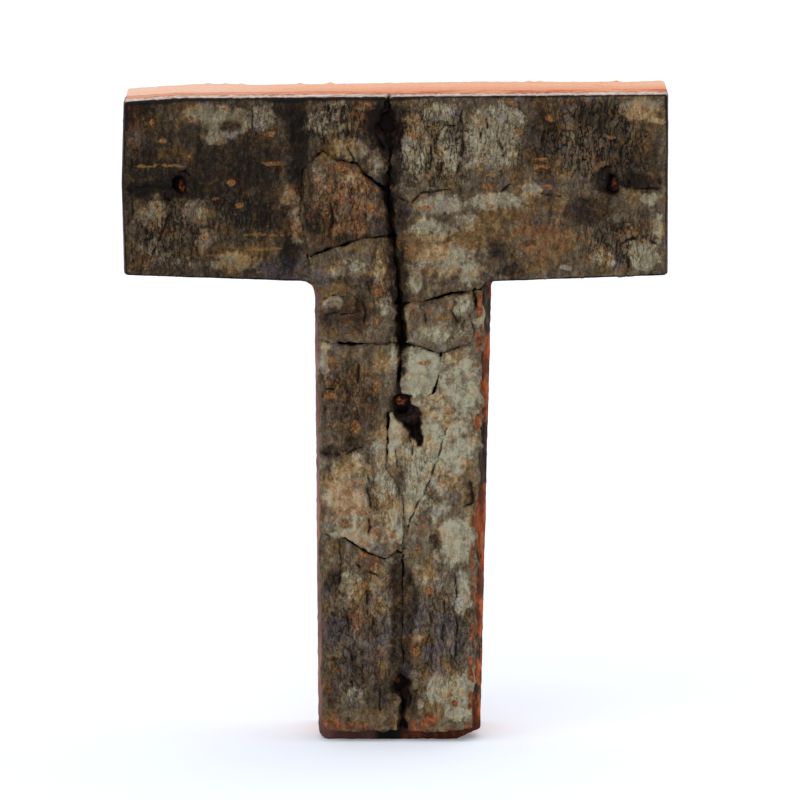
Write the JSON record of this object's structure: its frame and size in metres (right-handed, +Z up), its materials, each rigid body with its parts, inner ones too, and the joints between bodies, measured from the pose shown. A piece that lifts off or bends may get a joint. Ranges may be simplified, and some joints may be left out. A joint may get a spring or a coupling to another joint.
{
  "type": "bark-faced wooden letter",
  "caption": "Free-standing rustic capital letter T sawn from a slab of wood, its face covered with cracked bark plates pinned down by small brads; stands on its foot or fixes by its flat back",
  "frame": {"origin": "The middle of the letter's box, on the floor plane that the foot of the stem stands on", "axes": "+Z is up the stem, -Y is out of the bark face towards the reader, +Y is out of the sawn back, +X is to the reader's right"},
  "size_m": [0.0584, 0.015, 0.07],
  "materials": {
    "alder_wood": "sawn, unsanded",
    "inner_bark": "fibrous, dry",
    "outer_bark": "weathered, satin lacquer",
    "brad_steel": "tarnished"
  },
  "bodies": {
    "root": {"wood_core": "alder_wood", "inner_bark": "inner_bark", "bark_left_arm": "outer_bark", "bark_bar_centre": "outer_bark", "bark_right_arm": "outer_bark", "bark_stem_upper_left": "outer_bark", "bark_stem_middle_left": "outer_bark", "bark_stem_lower_left": "outer_bark", "bark_stem_upper_right": "outer_bark", "bark_stem_pale_plate": "outer_bark", "bark_stem_right": "outer_bark", "brad_left_arm": "brad_steel", "brad_right_arm": "brad_steel", "brad_top": "brad_steel", "brad_stem": "brad_steel", "brad_foot": "brad_steel"}
  },
  "joints": []
}
